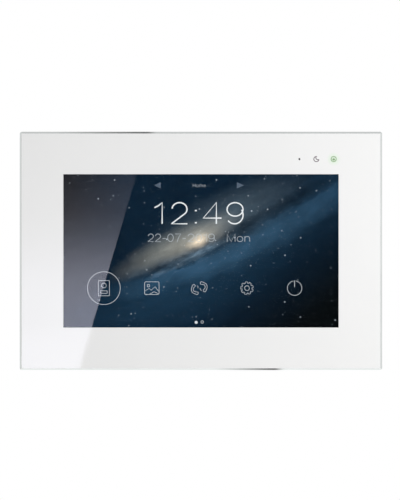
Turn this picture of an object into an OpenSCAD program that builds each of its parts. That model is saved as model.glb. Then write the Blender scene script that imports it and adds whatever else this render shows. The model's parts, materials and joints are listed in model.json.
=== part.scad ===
// Video intercom monitor on its wall bracket, in millimetres.
// The wall is the plane y = 0 and the front looks towards -y. X runs to the right as seen from the
// front, Z runs up, and the origin is the centre of the bracket's screw pattern. A depth is a distance
// from the wall towards the front.

/* [Panel] */
// Width of the glass panel
panel_w = 203; // [200:1:250]
// Height of the glass panel
panel_h = 133.5; // [130:0.5:170]
// Distance from the wall to the front of the glass
panel_depth = 20.5; // [20.5:0.5:26]
// Radius of the panel's corners
panel_r = 1.2; // [0.8:0.1:4]
// Thickness of the front glass
glass_t = 1.8; // [1.1:0.1:2.2]
// Width of the polished bevel round the glass
bevel_w = 1; // [0.4:0.1:1.4]
// How far the bevel falls back from the front of the glass
bevel_drop = 0.6; // [0.2:0.1:0.8]

/* [Display] */
// Width of the lit area
lit_w = 154.2; // [120:0.1:156]
// Height of the lit area
lit_h = 85.9; // [70:0.1:88]
// Black border between the lit area and the print
lit_border = 0.5; // [0.2:0.1:1]
// Width of the display module
module_w = 165; // [158:0.5:170]
// Height of the display module
module_h = 100; // [92:0.5:104]
// Thickness of the display module
module_t = 5.3; // [4.5:0.1:6]
// How far the module's centre lies below the centre of the lit area
module_drop = 2; // [0:0.5:3]

/* [Case] */
// Wall thickness of the case
wall_t = 2; // [1.6:0.1:2.4]
// Rounding of the case's back edges
back_edge = 2.5; // [1:0.1:3]
// Depth of the slim part's back face
slim_back = 5; // [4.5:0.1:5.5]
// Shadow gap between the front frame and the rear cover
split_gap = 0.3; // [0.2:0.1:0.5]

/* [Bracket] */
// Thickness of the bracket's sheet
bracket_t = 1.2; // [1:0.1:1.5]
// Distance between wall screws, both ways
screw_pitch = 60; // [56:1:72]
// Radius of the wall screw holes
screw_hole_r = 2.2; // [1.8:0.1:2.4]
// Width of a hook
hook_w = 8; // [6:0.5:9]
// Height of a hook's lip, which the monitor has to be lifted over
lip_h = 5; // [4:0.5:5.5]

/* [Wiring bay] */
// Height of the bay
bay_h = 37; // [30:1:38]
// Height of the bay's centre above the screw pattern's centre
bay_z = -3.5; // [-4:0.5:-2]
// Distance between socket pins
pin_pitch = 2.5; // [2:0.1:3]

/* [Board] */
// Thickness of the main board
board_t = 1.6; // [1:0.1:1.6]

/* [Memory card] */
// Length of the card
card_l = 15; // [14:0.5:16]
// Width of the card
card_w = 11; // [10:0.5:12]
// Thickness of the card
card_t = 0.7; // [0.6:0.1:0.8]

/* [Speaker] */
// Width of the speaker
speaker_w = 20; // [16:1:24]
// Height of the speaker
speaker_h = 40; // [30:1:48]

/* [Hidden] */
$fn = 48;

// Clearances and small overlaps
clear = 0.3; // between parts that move past each other
snug = 0.1; // round a part that is fitted and stays
through = 1; // how far a cut runs past the face that it opens
skin = 0.01; // how far shapes of one solid run into each other
hull_fn = 32;

// Depths of the front stack, from the glass inwards
print_t = 0.1;
tape_t = 0.3;
adhesive_t = 0.2;
touch_t = 0.7;
gasket_t = 0.3;
glass_back = panel_depth - glass_t;
print_back = glass_back - print_t;
frame_face = print_back - tape_t;
touch_front = print_back - adhesive_t;
touch_back = touch_front - touch_t;
module_front = touch_back - gasket_t;
module_back = module_front - module_t;
module_z = -module_drop;
module_top = module_z + module_h / 2;
module_bottom = module_z - module_h / 2;

// Front frame
frame_inset = 0.5;
frame_t = 2;
frame_back = frame_face - frame_t;
frame_rim = 3; // how far the frame's wall reaches behind its plate
frame_w = panel_w - 2 * frame_inset;
frame_h = panel_h - 2 * frame_inset;
frame_r = panel_r + 0.3;
wall_back = frame_back - frame_rim;
lip_t = 1.2;
lip_reach = 1.5;
opening_w = module_w + 1.2;
opening_h = module_h + 1.2;

// Wiring sockets
socket_wall = 1.2;
socket_h = 5.8;
socket_l = 9;
socket_gap = 3;
socket_top = bay_z + bay_h / 2 - 1;
bay_side = 2.5; // from the outermost sockets to the bay's wall
pin_side = 0.64;
skirt_t = 1.6;
four_pin_w = 4 * pin_pitch + 2 * socket_wall;
two_pin_w = 2 * pin_pitch + 2 * socket_wall;
sockets_w = 4 * four_pin_w + two_pin_w + 4 * socket_gap;
sockets_x0 = -sockets_w / 2;
bay_w = sockets_w + 2 * bay_side;

// Hooks and lift
hook_room = 3.4; // between the bay's wall and a hook
hook_side = 0.7; // between a hook and the side of its slot
head_r = 4.4; // of the wall screws
head_wall = 1.6; // of the pocket round a screw's head
pocket_r = head_r + 1;
bracket_side = 6; // plate beyond a hook
bracket_end = 8; // plate beyond a screw hole
lift = lip_h + bracket_t; // travel that frees the monitor from the hooks
recess_floor = bracket_t + clear;
recess_inner = recess_floor + wall_t;
lip_back = recess_inner + clear;
lip_front = lip_back + bracket_t;
hook_x = hook_w / 2 + max(bay_w / 2 + skirt_t + hook_room,
    screw_pitch / 2 + pocket_r + head_wall + hook_side);
bracket_w = 2 * (hook_x + hook_w / 2 + bracket_side);
bracket_h = screw_pitch + 2 * bracket_end;
hook_tops = [27, -27];
recess_side = 1;
head_floor = recess_floor + 2.9;

// Rear cover; the raised middle of its back takes the bracket
wall_gap = 0.3;
hump_w = bracket_w + 16;
hump_h = bracket_h + 28;
cover_inset = 0.8;
cover_w = panel_w - 2 * cover_inset;
cover_h = panel_h - 2 * cover_inset;
cover_r = back_edge + 0.5;
inner_r = 1.2;
hump_r = 8;
cover_rim = wall_back - split_gap;
slim_inner = slim_back + wall_t;
hump_inner = wall_gap + wall_t;
inner_w = cover_w - 2 * wall_t;
inner_h = cover_h - 2 * wall_t;
lip_w = inner_w - 2 * snug;
lip_hh = inner_h - 2 * snug;

// Screws
post_x = panel_w / 2 - 10.5;
post_z = panel_h / 2 - 9.5;
post_r = 3.6;
case_shank_r = 1.25;
case_head_r = 2.5;
case_head_floor = slim_back + 1.8;
case_head_h = 1.2;
small_shank_r = 1;
small_head_r = 1.9;
small_head_h = 1.1;
small_boss_r = 2.75;

// Main board
board_w = bracket_w + 8;
board_h = bracket_h + 10;
board_front = module_back - 1.5;
board_back = board_front - board_t;
board_screw_x = board_w / 2 - 6;
board_screw_z = board_h / 2 - 6;
ear_bottom = 0;
ear_top = 34;
ear_end = inner_w / 2 - 1.2;
side_x = (bay_w / 2 + skirt_t + board_w / 2) / 2; // middle of the board beside the bay

// Card slot and reset button, both in the right side
card_z = 21.5;
card_recess = 0.5;
card_room = 0.2;
card_end = cover_w / 2 - card_recess;
card_d = board_back - 0.3 - card_room - card_t;
card_socket_l = 14.7;
card_socket_h = 1.6;
card_socket_end = ear_end - 0.3;
notch_r = 8;
notch_cut = 1;
reset_z = 6;
reset_body = [3.3, 1.5, 4.7];
reset_d = board_back - reset_body[1] / 2;
reset_stem = [1.6, 0.9, 2.4];
reset_room = 0.1;
reset_travel = 0.25;
reset_hole_r = 0.8;

// Indicators and microphone, on one line above the display
mark_z = (lit_h / 2 + panel_h / 2) / 2 - 3.45;
mark_pitch = 9.6;
mic_x = lit_w / 2 - 22;
moon_x = mic_x + mark_pitch;
ring_x = moon_x + mark_pitch;
mark_hole_r = 2.1;
guide_r = 1.9;
guide_flange_r = 2.6;
guide_flange_t = 0.4;
mic_hole_r = 0.55;
mic_r = 2;
mic_t = 2;
boot_r = 2.8;
boot_t = 2.6;
lamp_board = [20, 1, 8];
lamp_board_x = (moon_x + ring_x) / 2 + 0.5;
lamp_board_z = mark_z + 2;
lamp_board_front = frame_back - 1.1;

// Display clamps
clamp_x = 35;
clamp_reach = 4.5;
clamp_w = 8;
clamp_t = 1;
clamp_grip = 5;

// Speaker, beside the raised middle
speaker_x = -(hump_w / 2 + inner_w / 2) / 2;
speaker_z = -25;
speaker_gasket_t = 0.6;
speaker_flange_t = 1.2;
speaker_rim = 2;
speaker_basket_t = 1.6;
magnet_r = 6.5;
magnet_t = 1.3;
speaker_face = slim_inner + speaker_gasket_t;

// Leads and ribbons
lead_r = 0.5;
lead_d = max(board_back - 1.2, slim_inner + lead_r + 0.2);
amplifier_z = -26;
ribbon_t = 0.25;
display_ribbon_x = 8;
display_ribbon_w = 25;
touch_ribbon_x = -20;
touch_ribbon_w = 8;
header_h = 2.4;

white = [0.93, 0.93, 0.92];
steel = [0.72, 0.73, 0.74];
board_green = [0.05, 0.3, 0.16];
chip_black = [0.09, 0.09, 0.1];
rubber_black = [0.05, 0.05, 0.05];
gold = [0.85, 0.66, 0.3];
connector_white = [0.9, 0.88, 0.8];

// ---- Shapes shared by several sub-parts

// Box centred on (x, z), from depth d0 to depth d1
module block(w, h, d0, d1, x = 0, z = 0)
    translate([x - w / 2, -d1, z - h / 2]) cube([w, d1 - d0, h]);

// Rectangle with round corners
module rounded(w, h, r) {
    square([w - 2 * r, h], center = true);
    square([w, h - 2 * r], center = true);
    for (sx = [-1, 1], sz = [-1, 1]) translate([sx * (w / 2 - r), sz * (h / 2 - r)]) circle(r);
}

// Round-cornered plate from depth d0 to depth d1
module plate(w, h, r, d0, d1, x = 0, z = 0)
    translate([x, -d0, z]) rotate([90, 0, 0]) linear_extrude(d1 - d0) rounded(w, h, r);

// Round-cornered frame, t wide all round
module ring(w, h, r, t, d0, d1, x = 0, z = 0)
    difference() {
        plate(w, h, r, d0, d1, x, z);
        plate(w - 2 * t, h - 2 * t, max(r - t, t / 4), d0 - through, d1 + through, x, z);
    }

// Cylinder along the depth
module pin(r, d0, d1, x = 0, z = 0)
    translate([x, -d0, z]) rotate([90, 0, 0]) cylinder(r = r, h = d1 - d0);

module at_corners(x, z)
    for (sx = [-1, 1], sz = [-1, 1]) translate([sx * x, 0, sz * z]) children();

// Solid block whose back edges are rounded by edge
module tub(w, h, r, edge, d0, d1)
    hull() at_corners(w / 2 - r, h / 2 - r) {
        for (a = [0 : 22.5 : 90])
            pin(r - edge * (1 - sin(a)), d0 + edge * (1 - cos(a)), d1, $fn = hull_fn);
    }

module at_clamps()
    for (sx = [-1, 1], z = [module_top + clamp_reach, module_bottom - clamp_reach])
        translate([sx * clamp_x, 0, z]) children();

// Round lead through a list of points [x, depth, z], each step along one axis
module lead(points) {
    for (p = points) translate([p[0], -p[1], p[2]]) sphere(lead_r, $fn = 24);
    for (i = [1 : len(points) - 1]) {
        a = points[i - 1];
        b = points[i];
        low = [min(a[0], b[0]), min(-a[1], -b[1]), min(a[2], b[2])];
        run = norm(b - a);
        turn = a[0] != b[0] ? [0, 90, 0] : a[1] != b[1] ? [-90, 0, 0] : [0, 0, 0];
        translate(low) rotate(turn) cylinder(r = lead_r, h = run, $fn = 24);
    }
}

// Screw along the depth: its head lies in front of or behind the seat
module screw(shank_r, head_r, seat, tip, head_end) {
    pin(shank_r, min(seat, tip), max(seat, tip));
    pin(head_r, min(seat, head_end), max(seat, head_end));
}

// ---- Wall bracket

module hook(z) {
    block(hook_w, bracket_t, bracket_t / 2, lip_front, 0, z - bracket_t / 2);
    block(hook_w, lip_h + bracket_t, lip_back, lip_front, 0, z + (lip_h - bracket_t) / 2);
}

module wall_bracket() color(steel) {
    hook_cut = lip_h + lip_front - bracket_t;
    difference() {
        plate(bracket_w, bracket_h, 4, 0, bracket_t);
        plate(bay_w - 2, bay_h - 2, 3, -through, bracket_t + through, 0, bay_z);
        at_corners(screw_pitch / 2, screw_pitch / 2) pin(screw_hole_r, -through, bracket_t + through);
        for (sx = [-1, 1], z = hook_tops)
            block(hook_w, hook_cut, -through, bracket_t + through, sx * hook_x,
                z - bracket_t - hook_cut / 2);
    }
    for (sx = [-1, 1], z = hook_tops) translate([sx * hook_x, 0, 0]) hook(z);
}

// ---- Front glass and what is bonded behind it

module front_glass() color([0.95, 0.97, 0.98, 0.4]) difference() {
    front_r = panel_r / 2;
    hull() {
        at_corners(panel_w / 2 - panel_r, panel_h / 2 - panel_r)
            pin(panel_r, glass_back, panel_depth - bevel_drop, $fn = hull_fn);
        at_corners(panel_w / 2 - bevel_w - front_r, panel_h / 2 - bevel_w - front_r)
            pin(front_r, glass_back, panel_depth, $fn = hull_fn);
    }
    pin(mic_hole_r, glass_back - through, panel_depth + through, mic_x, mark_z);
}

module glass_print() color(white) difference() {
    plate(panel_w - 2 * frame_inset, panel_h - 2 * frame_inset, panel_r, print_back, glass_back);
    plate(lit_w + 2 * lit_border, lit_h + 2 * lit_border, 0.4, print_back - through,
        glass_back + through);
    pin(mic_hole_r, print_back - through, glass_back + through, mic_x, mark_z);
    for (x = [moon_x, ring_x]) pin(guide_r, print_back - through, glass_back + through, x, mark_z);
}

module glass_tape() color(chip_black) difference() {
    plate(frame_w - 3, frame_h - 3, panel_r, frame_face, print_back);
    plate(opening_w + 1, opening_h + 0.6, 1, frame_face - through, print_back + through, 0, module_z);
    pin(mark_hole_r, frame_face - through, print_back + through, mic_x, mark_z);
    for (x = [moon_x, ring_x])
        pin(mark_hole_r, frame_face - through, print_back + through, x, mark_z);
}

module optical_adhesive() color([0.9, 0.95, 1, 0.3])
    plate(module_w - 1, module_h - 1, 1, touch_front, print_back, 0, module_z);

module touch_sensor() color([0.8, 0.85, 0.9, 0.4])
    plate(module_w, module_h, 1, touch_back, touch_front, 0, module_z);

// Ribbon from the sensor's lower edge, round the display, to its socket on the board
module touch_ribbon() color([0.75, 0.45, 0.15]) {
    drop = module_bottom - 1.8;
    level = board_back - 1.5;
    socket_mouth = -board_h / 2 + 4;
    front = touch_front - 0.2;
    block(touch_ribbon_w, 1.8, front - ribbon_t, front, touch_ribbon_x, module_bottom - 0.9);
    block(touch_ribbon_w, ribbon_t, level, front, touch_ribbon_x, drop + ribbon_t / 2);
    block(touch_ribbon_w, socket_mouth - drop, level, level + ribbon_t, touch_ribbon_x,
        (socket_mouth + drop) / 2);
}

// ---- Display module

module lcd_gasket() color(rubber_black) difference() {
    plate(module_w, module_h, 1, module_front, touch_back, 0, module_z);
    plate(lit_w + 3, lit_h + 2.4, 0.5, module_front - through, touch_back + through);
}

bezel_t = 0.3;
tray_t = 0.4;
tray_front = module_back + 3.1;
films_t = 0.6;
guide_t = 2.3;
cell_back = tray_front + films_t;
cell_front = module_front - bezel_t;
cell_w = module_w - 2;
cell_h = module_h - 3;
strip_h = 2.6;

module lcd_bezel() color(steel) {
    difference() {
        plate(module_w, module_h, 1, module_front - bezel_t, module_front, 0, module_z);
        plate(lit_w + 2.4, lit_h + 2.4, 0.3, module_front - 2 * bezel_t, module_front + through);
    }
    ring(module_w, module_h, 1, bezel_t, module_back + 0.9, module_front - bezel_t, 0, module_z);
}

module lcd_cell() color([0.03, 0.06, 0.1])
    block(cell_w, cell_h, cell_back, cell_front, 0, module_z);

module diffuser_films() color([0.95, 0.95, 0.95])
    block(cell_w, cell_h, tray_front, cell_back, 0, module_z);

module light_guide() color([0.85, 0.93, 0.95])
    block(cell_w - 3, cell_h - strip_h - 1.5, module_back + tray_t + snug,
        module_back + tray_t + snug + guide_t, 0, module_z + strip_h / 2 + 0.4);

// Row of lamps that shine up into the guide's lower edge
module backlight_strip() color([0.95, 0.9, 0.6]) {
    z = module_z - cell_h / 2 + 0.6;
    back = module_back + tray_t + snug;
    block(cell_w - 6, 0.5, back, back + guide_t, 0, z);
    for (i = [0 : 17]) block(4, 1.2, back + 0.3, back + 1.9, (i - 8.5) * 8.6, z + 0.25 + 0.6);
}

module lcd_tray() color(steel) {
    block(module_w - 0.8, module_h - 0.8, module_back, module_back + tray_t, 0, module_z);
    ring(module_w - 0.8, module_h - 0.8, 0.8, tray_t, module_back + tray_t, tray_front, 0, module_z);
}

module lcd_clamps() color(steel)
    for (sx = [-1, 1], s = [-1, 1]) {
        screw_z = s > 0 ? module_top + clamp_reach : module_bottom - clamp_reach;
        inner_z = s > 0 ? module_top - clamp_grip : module_bottom + clamp_grip;
        outer_z = screw_z + s * 3.5;
        difference() {
            block(clamp_w, abs(outer_z - inner_z), module_back - clamp_t, module_back,
                sx * clamp_x, (outer_z + inner_z) / 2);
            pin(small_shank_r + snug, module_back - clamp_t - through, module_back + through,
                sx * clamp_x, screw_z);
        }
    }

module clamp_screws() color(steel)
    at_clamps() screw(small_shank_r, small_head_r, module_back - clamp_t, frame_back + 0.5,
        module_back - clamp_t - small_head_h);

// Ribbon from the tray's back round the board's lower edge
module display_ribbon() color([0.75, 0.45, 0.15]) {
    drop = -board_h / 2 - 2.5;
    level = board_back - 1;
    socket_mouth = -board_h / 2 + 4;
    block(display_ribbon_w, 5, module_back - ribbon_t, module_back, display_ribbon_x,
        drop - 2.5 + ribbon_t);
    block(display_ribbon_w, ribbon_t, level, module_back, display_ribbon_x, drop + ribbon_t / 2);
    block(display_ribbon_w, socket_mouth - drop, level, level + ribbon_t, display_ribbon_x,
        (socket_mouth + drop) / 2);
}

// ---- Case

module front_frame() color(white) difference() {
    union() {
        plate(frame_w, frame_h, frame_r, frame_back, frame_face);
        difference() {
            plate(frame_w, frame_h, frame_r, wall_back, frame_back + skin);
            plate(lip_w - 2 * lip_t, lip_hh - 2 * lip_t, inner_r, wall_back - through,
                frame_back + through);
        }
        ring(lip_w, lip_hh, inner_r, lip_t, wall_back - lip_reach, wall_back + skin);
        at_corners(post_x, post_z) pin(post_r, cover_rim, frame_back + skin);
        at_clamps() pin(small_boss_r, module_back, frame_back + skin);
        for (x = [lamp_board_x - 8, lamp_board_x + 8])
            pin(1.3, lamp_board_front, frame_back + skin, x, lamp_board_z + 2.4);
    }
    block(opening_w, opening_h, module_back, frame_face + through, 0, module_z);
    block(touch_ribbon_w + 2, 3, frame_back - through, frame_face + through, touch_ribbon_x,
        module_bottom - 1.5);
    at_corners(post_x, post_z) pin(case_shank_r + snug, cover_rim - through, frame_face - 0.8);
    at_clamps() pin(small_shank_r + snug, module_back - through, frame_face - 0.8);
    pin(mic_hole_r, frame_back - through, frame_face + through, mic_x, mark_z);
    for (x = [moon_x, ring_x]) pin(mark_hole_r, frame_back - through, frame_face + through, x, mark_z);
}

module vents() {
    for (i = [-5 : 5], s = [-1, 1])
        block(2, 3 * wall_t, slim_back + back_edge + 0.8, cover_rim - lip_reach - 0.4, i * 5,
            s * (cover_h / 2 - wall_t / 2));
}

module speaker_slots()
    for (i = [-4 : 4]) {
        reach = sqrt(1 - pow(i / 5, 2)) * (speaker_w - 2 * speaker_rim - 2);
        plate(reach, 1.6, 0.79, slim_back - through, slim_inner + through, speaker_x,
            speaker_z + i * (speaker_h - 2 * speaker_rim - 4) / 9);
    }

module hook_slots() {
    top = 0.1;
    bottom = bracket_t + lift + 0.5;
    for (sx = [-1, 1], z = hook_tops)
        block(hook_w + 2 * hook_side, bottom + top, recess_floor - through, recess_inner + through,
            sx * hook_x, z + (top - bottom) / 2);
}

// Pocket that clears a wall screw's head over the whole lift
module head_pocket(margin, d0, d1)
    plate(2 * (pocket_r + margin), 2 * (pocket_r + margin) + lift, 2 + margin, d0, d1, 0, -lift / 2);

module recess(margin, d0, d1) {
    top = bracket_h / 2 + recess_side;
    bottom = bracket_h / 2 + recess_side + lift;
    plate(bracket_w + 2 * recess_side + 2 * margin, top + bottom + 2 * margin, 4 + recess_side + margin,
        d0, d1, 0, (top - bottom) / 2);
}

module rear_cover() color(white) difference() {
    union() {
        difference() {
            union() {
                tub(cover_w, cover_h, cover_r, back_edge, slim_back, cover_rim);
                tub(hump_w, hump_h, hump_r, back_edge, wall_gap, slim_inner);
            }
            plate(inner_w, inner_h, inner_r, slim_inner, cover_rim + through);
            plate(hump_w - 2 * wall_t, hump_h - 2 * wall_t, hump_r - wall_t, hump_inner,
                slim_inner + through);
        }
        recess(wall_t, wall_gap + skin, recess_inner);
        at_corners(screw_pitch / 2, screw_pitch / 2)
            head_pocket(head_wall, recess_floor + skin, head_floor + head_wall);
        plate(bay_w + 2 * skirt_t, bay_h + 2 * skirt_t, 3, recess_floor + skin, board_back - snug, 0,
            bay_z);
        at_corners(post_x, post_z) pin(post_r, slim_back + wall_t / 2, cover_rim);
        at_corners(board_screw_x, board_screw_z) pin(small_boss_r, recess_floor + skin, board_back);
    }
    recess(0, wall_gap - through, recess_floor);
    at_corners(screw_pitch / 2, screw_pitch / 2)
        head_pocket(0, recess_floor - through, head_floor);
    plate(bay_w, bay_h, 2, wall_gap - through, board_back + through, 0, bay_z);
    hook_slots();
    speaker_slots();
    vents();
    at_corners(post_x, post_z) {
        pin(case_head_r + clear, slim_back - through, case_head_floor);
        pin(case_shank_r + clear, slim_back, cover_rim + through);
    }
    at_corners(board_screw_x, board_screw_z)
        pin(small_shank_r + snug, recess_inner + 0.8, board_back + through);
    block(2 * (wall_t + through), card_w + 1.2, card_d - 0.4, card_d + card_t + 0.4, cover_w / 2, card_z);
    pin(notch_r, card_d - 1.2, card_d + card_t + 1.2, cover_w / 2 + notch_r - notch_cut, card_z);
    translate([inner_w / 2 - through, -reset_d, reset_z]) rotate([0, 90, 0])
        cylinder(r = reset_hole_r, h = wall_t + 2 * through);
}

module case_screws() color(steel)
    at_corners(post_x, post_z)
        screw(case_shank_r, case_head_r, case_head_floor, frame_face - 1.2,
            case_head_floor - case_head_h);

module rating_label() color([0.85, 0.86, 0.87])
    plate(26, 36, 1.5, slim_back - 0.15, slim_back, -speaker_x, -22);

// ---- Main board and what is soldered to its back

module board_outline() {
    square([board_w, board_h], center = true);
    translate([0, ear_bottom]) square([ear_end, ear_top - ear_bottom]);
}

module main_board() color(board_green) difference() {
    translate([0, -board_back, 0]) rotate([90, 0, 0]) linear_extrude(board_t) board_outline();
    at_corners(board_screw_x, board_screw_z)
        pin(small_shank_r + snug, board_back - through, board_front + through);
}

module board_screws() color(steel)
    at_corners(board_screw_x, board_screw_z)
        screw(small_shank_r, small_head_r, board_front, recess_inner + 1.4,
            board_front + small_head_h);

// Chip of the given size and height on the board's back
module chip(w, h, t, x, z) block(w, h, board_back - t, board_back, x, z);

can_z = (socket_top + 1 + skirt_t + board_h / 2) / 2 + 0.5;
can_w = 36;
can_h = 22;
can_t = 0.25;
can_reach = 2.4;

module shield_can() color(steel) {
    top = board_back - can_reach;
    block(can_w, can_h, top, top + can_t, 0, can_z);
    difference() {
        block(can_w, can_h, top, board_back, 0, can_z);
        block(can_w - 2 * can_t, can_h - 2 * can_t, top - through, board_back + through, 0, can_z);
    }
}

module processor() color(chip_black) chip(14, 14, 1.2, -8, can_z);

module memory_chips() color(chip_black)
    for (z = [-1, 1]) chip(11, 8, 1, 9, can_z + z * 5);

module video_decoders() color(chip_black)
    for (x = [-1, 1]) chip(7, 7, 1.1, x * (side_x + 3), board_screw_z - 14);

module audio_amplifier() color(chip_black) chip(5, 4, 1.3, -side_x - 3.5, amplifier_z);

module crystals() color(steel)
    for (x = [-1, 1]) chip(3.2, 2.5, 0.9, x * (can_w / 2 + 3), can_z + can_h / 2 - 1);

module power_coils() color([0.2, 0.2, 0.21])
    for (i = [-1 : 1]) difference() {
        chip(6, 6, 2.8, i * 9, bay_z - bay_h / 2 - skirt_t - 4.5);
        pin(1.8, board_back - 3.8, board_back - 2.6, i * 9, bay_z - bay_h / 2 - skirt_t - 4.5);
    }

module power_capacitors() color([0.6, 0.6, 0.63])
    for (x = [-1, 1], z = [-1, 1]) translate([x * 3.6 - side_x, 0, z * 8]) {
        pin(3.15, board_back - 5, board_back - 0.7);
        block(6.6, 6.6, board_back - 0.7, board_back);
    }

cell_x = side_x;
cell_z = -2;
cell_r = 6.25;
cell_t = 2;

module clock_cell_holder() color(chip_black) difference() {
    block(16, 15, board_back - 3.4, board_back, cell_x, cell_z);
    pin(cell_r + snug, board_back - 3.4 - through, board_back - 0.9, cell_x, cell_z);
    block(6, 8, board_back - 3.4 - through, board_back - 0.9, cell_x, cell_z + 7);
}

module clock_cell() color(steel) pin(cell_r, board_back - 0.9 - cell_t, board_back - 0.9, cell_x, cell_z);

// ---- Wiring sockets in the bay, their mouths facing down

// Centre of socket i in the row; the last one is the two-pin power socket
function socket_x(i) = sockets_x0 + i * (four_pin_w + socket_gap)
    + (i < 4 ? four_pin_w : two_pin_w) / 2;

module socket(pins, x) difference() {
    w = pins * pin_pitch + 2 * socket_wall;
    block(w, socket_l, board_back - socket_h, board_back, x, socket_top - socket_l / 2);
    block(w - 2 * socket_wall + 1, socket_l, board_back - socket_h + 0.8, board_back - 0.9, x,
        socket_top - socket_l / 2 - 1.6);
    for (s = [-1, 1])
        block(1.4, 3.5, board_back - socket_h - through, board_back - socket_h + 1, x + s * w / 5,
            socket_top - socket_l + 1.7);
}

module socket_row(pins, x)
    for (i = [0 : pins - 1])
        block(pin_side, socket_l - 3.2, board_back - 3.1, board_back - 3.1 + pin_side,
            x + (i - (pins - 1) / 2) * pin_pitch, socket_top - socket_l / 2 + 0.6);

module door_sockets() color(connector_white) for (i = [0, 1]) socket(4, socket_x(i));
module camera_sockets() color([0.72, 0.74, 0.76]) for (i = [2, 3]) socket(4, socket_x(i));
module power_socket() color([0.75, 0.12, 0.1]) socket(2, socket_x(4));

module socket_pins() color(gold) {
    for (i = [0 : 3]) socket_row(4, socket_x(i));
    socket_row(2, socket_x(4));
}

// ---- Ribbon and lead sockets on the board

module display_socket() color(connector_white) difference() {
    level = board_back - 1;
    mouth = -board_h / 2 + 1.5;
    block(display_ribbon_w + 4, 5, board_back - 2, board_back, display_ribbon_x, mouth + 2.5);
    block(display_ribbon_w + 0.4, 5, level - 0.1, level + ribbon_t + 0.1, display_ribbon_x, mouth + 0.2);
}

module touch_socket() color(chip_black) difference() {
    level = board_back - 1.5;
    mouth = -board_h / 2 + 1.5;
    block(touch_ribbon_w + 3, 5, board_back - 2.2, board_back, touch_ribbon_x, mouth + 2.5);
    block(touch_ribbon_w + 0.4, 5, level - 0.1, level + ribbon_t + 0.1, touch_ribbon_x, mouth + 0.2);
}

speaker_header = [-board_w / 2 + 2.5, -20];
mic_header = [board_w / 2 - 14, board_h / 2 - 1.8];
lamp_lead_x = lamp_board_x - 6;
lamp_header = [lamp_lead_x - 5.9, board_h / 2 - 1.6];

module lead_sockets() color(connector_white) {
    chip(4, 4, header_h, speaker_header[0], speaker_header[1]);
    chip(4, 3, header_h, mic_header[0], mic_header[1]);
    chip(3, 3, header_h, lamp_header[0], lamp_header[1]);
}

module speaker_lead() color([0.7, 0.1, 0.1]) {
    start = speaker_x + speaker_w / 2 + lead_r;
    bend = (start - board_w / 2) / 2;
    lead([[start, lead_d, speaker_z + 12], [bend, lead_d, speaker_z + 12],
        [bend, lead_d, speaker_header[1]], [speaker_header[0] - 2 - lead_r, lead_d, speaker_header[1]]]);
}

module microphone_lead() color([0.3, 0.3, 0.32]) {
    start = frame_back - boot_t - lead_r;
    lead([[mic_x, start, mark_z], [mic_x, lead_d, mark_z], [mic_x, lead_d, mic_header[1]],
        [mic_header[0] + 2 + lead_r, lead_d, mic_header[1]]]);
}

module indicator_lead() color([0.15, 0.3, 0.6]) {
    start = lamp_board_front - lamp_board[1] - lead_r;
    lead([[lamp_lead_x, start, lamp_board_z], [lamp_lead_x, lead_d, lamp_board_z],
        [lamp_lead_x, lead_d, lamp_header[1]],
        [lamp_header[0] + 1.5 + lead_r, lead_d, lamp_header[1]]]);
}

// ---- Memory card and its socket

module card_socket() color(steel) difference() {
    x = card_socket_end - card_socket_l / 2;
    block(card_socket_l, card_w + 3.4, board_back - card_socket_h, board_back, x, card_z);
    block(card_socket_l, card_w + 2 * card_room, card_d - card_room, card_d + card_t + card_room,
        x + 0.8, card_z);
}

module memory_card() color(chip_black) {
    x = card_end - card_l / 2;
    difference() {
        block(card_l, card_w, card_d, card_d + card_t, x, card_z);
        block(5.4, 1.6, card_d - through, card_d + card_t + through, card_end - card_l + 2.7,
            card_z + card_w / 2);
    }
}

// ---- Reset switch and its button

switch_end = ear_end - 0.2;
stem_start = switch_end - 1;

module reset_switch() color(steel) difference() {
    block(reset_body[0], reset_body[2], board_back - reset_body[1], board_back,
        switch_end - reset_body[0] / 2, reset_z);
    block(3, reset_stem[2] + 2 * reset_room, reset_d - reset_stem[1] / 2 - reset_room,
        reset_d + reset_stem[1] / 2 + reset_room, stem_start - reset_travel - reset_room + 1.5, reset_z);
}

module reset_button() color([0.85, 0.3, 0.1])
    block(reset_stem[0], reset_stem[2], reset_d - reset_stem[1] / 2, reset_d + reset_stem[1] / 2,
        stem_start + reset_stem[0] / 2, reset_z);

// ---- Indicators and microphone

module indicator_board() color(board_green)
    block(lamp_board[0], lamp_board[2], lamp_board_front - lamp_board[1], lamp_board_front,
        lamp_board_x, lamp_board_z);

module indicator_lamps() color([0.95, 0.95, 0.8])
    for (x = [moon_x, ring_x]) block(3.2, 1.6, lamp_board_front, lamp_board_front + 0.6, x, mark_z);

module light_guides() color([0.9, 0.95, 0.9])
    for (x = [moon_x, ring_x]) {
        pin(guide_flange_r, frame_back - guide_flange_t, frame_back, x, mark_z);
        pin(guide_r, frame_back - skin, frame_face - snug, x, mark_z);
    }

module microphone() color(steel)
    pin(mic_r, frame_back - 0.5 - mic_t, frame_back - 0.5, mic_x, mark_z);

module microphone_boot() color(rubber_black) difference() {
    pin(boot_r, frame_back - boot_t, frame_back, mic_x, mark_z);
    pin(mic_r + 0.02, frame_back - 0.5 - mic_t, frame_back - 0.5, mic_x, mark_z);
    pin(mic_hole_r, frame_back - 1, frame_back + through, mic_x, mark_z);
}

// ---- Speaker, facing the slots in the rear cover

module speaker_gasket() color(rubber_black)
    ring(speaker_w, speaker_h, speaker_w / 2 - 0.5, speaker_rim, slim_inner, speaker_face, speaker_x,
        speaker_z);

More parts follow.
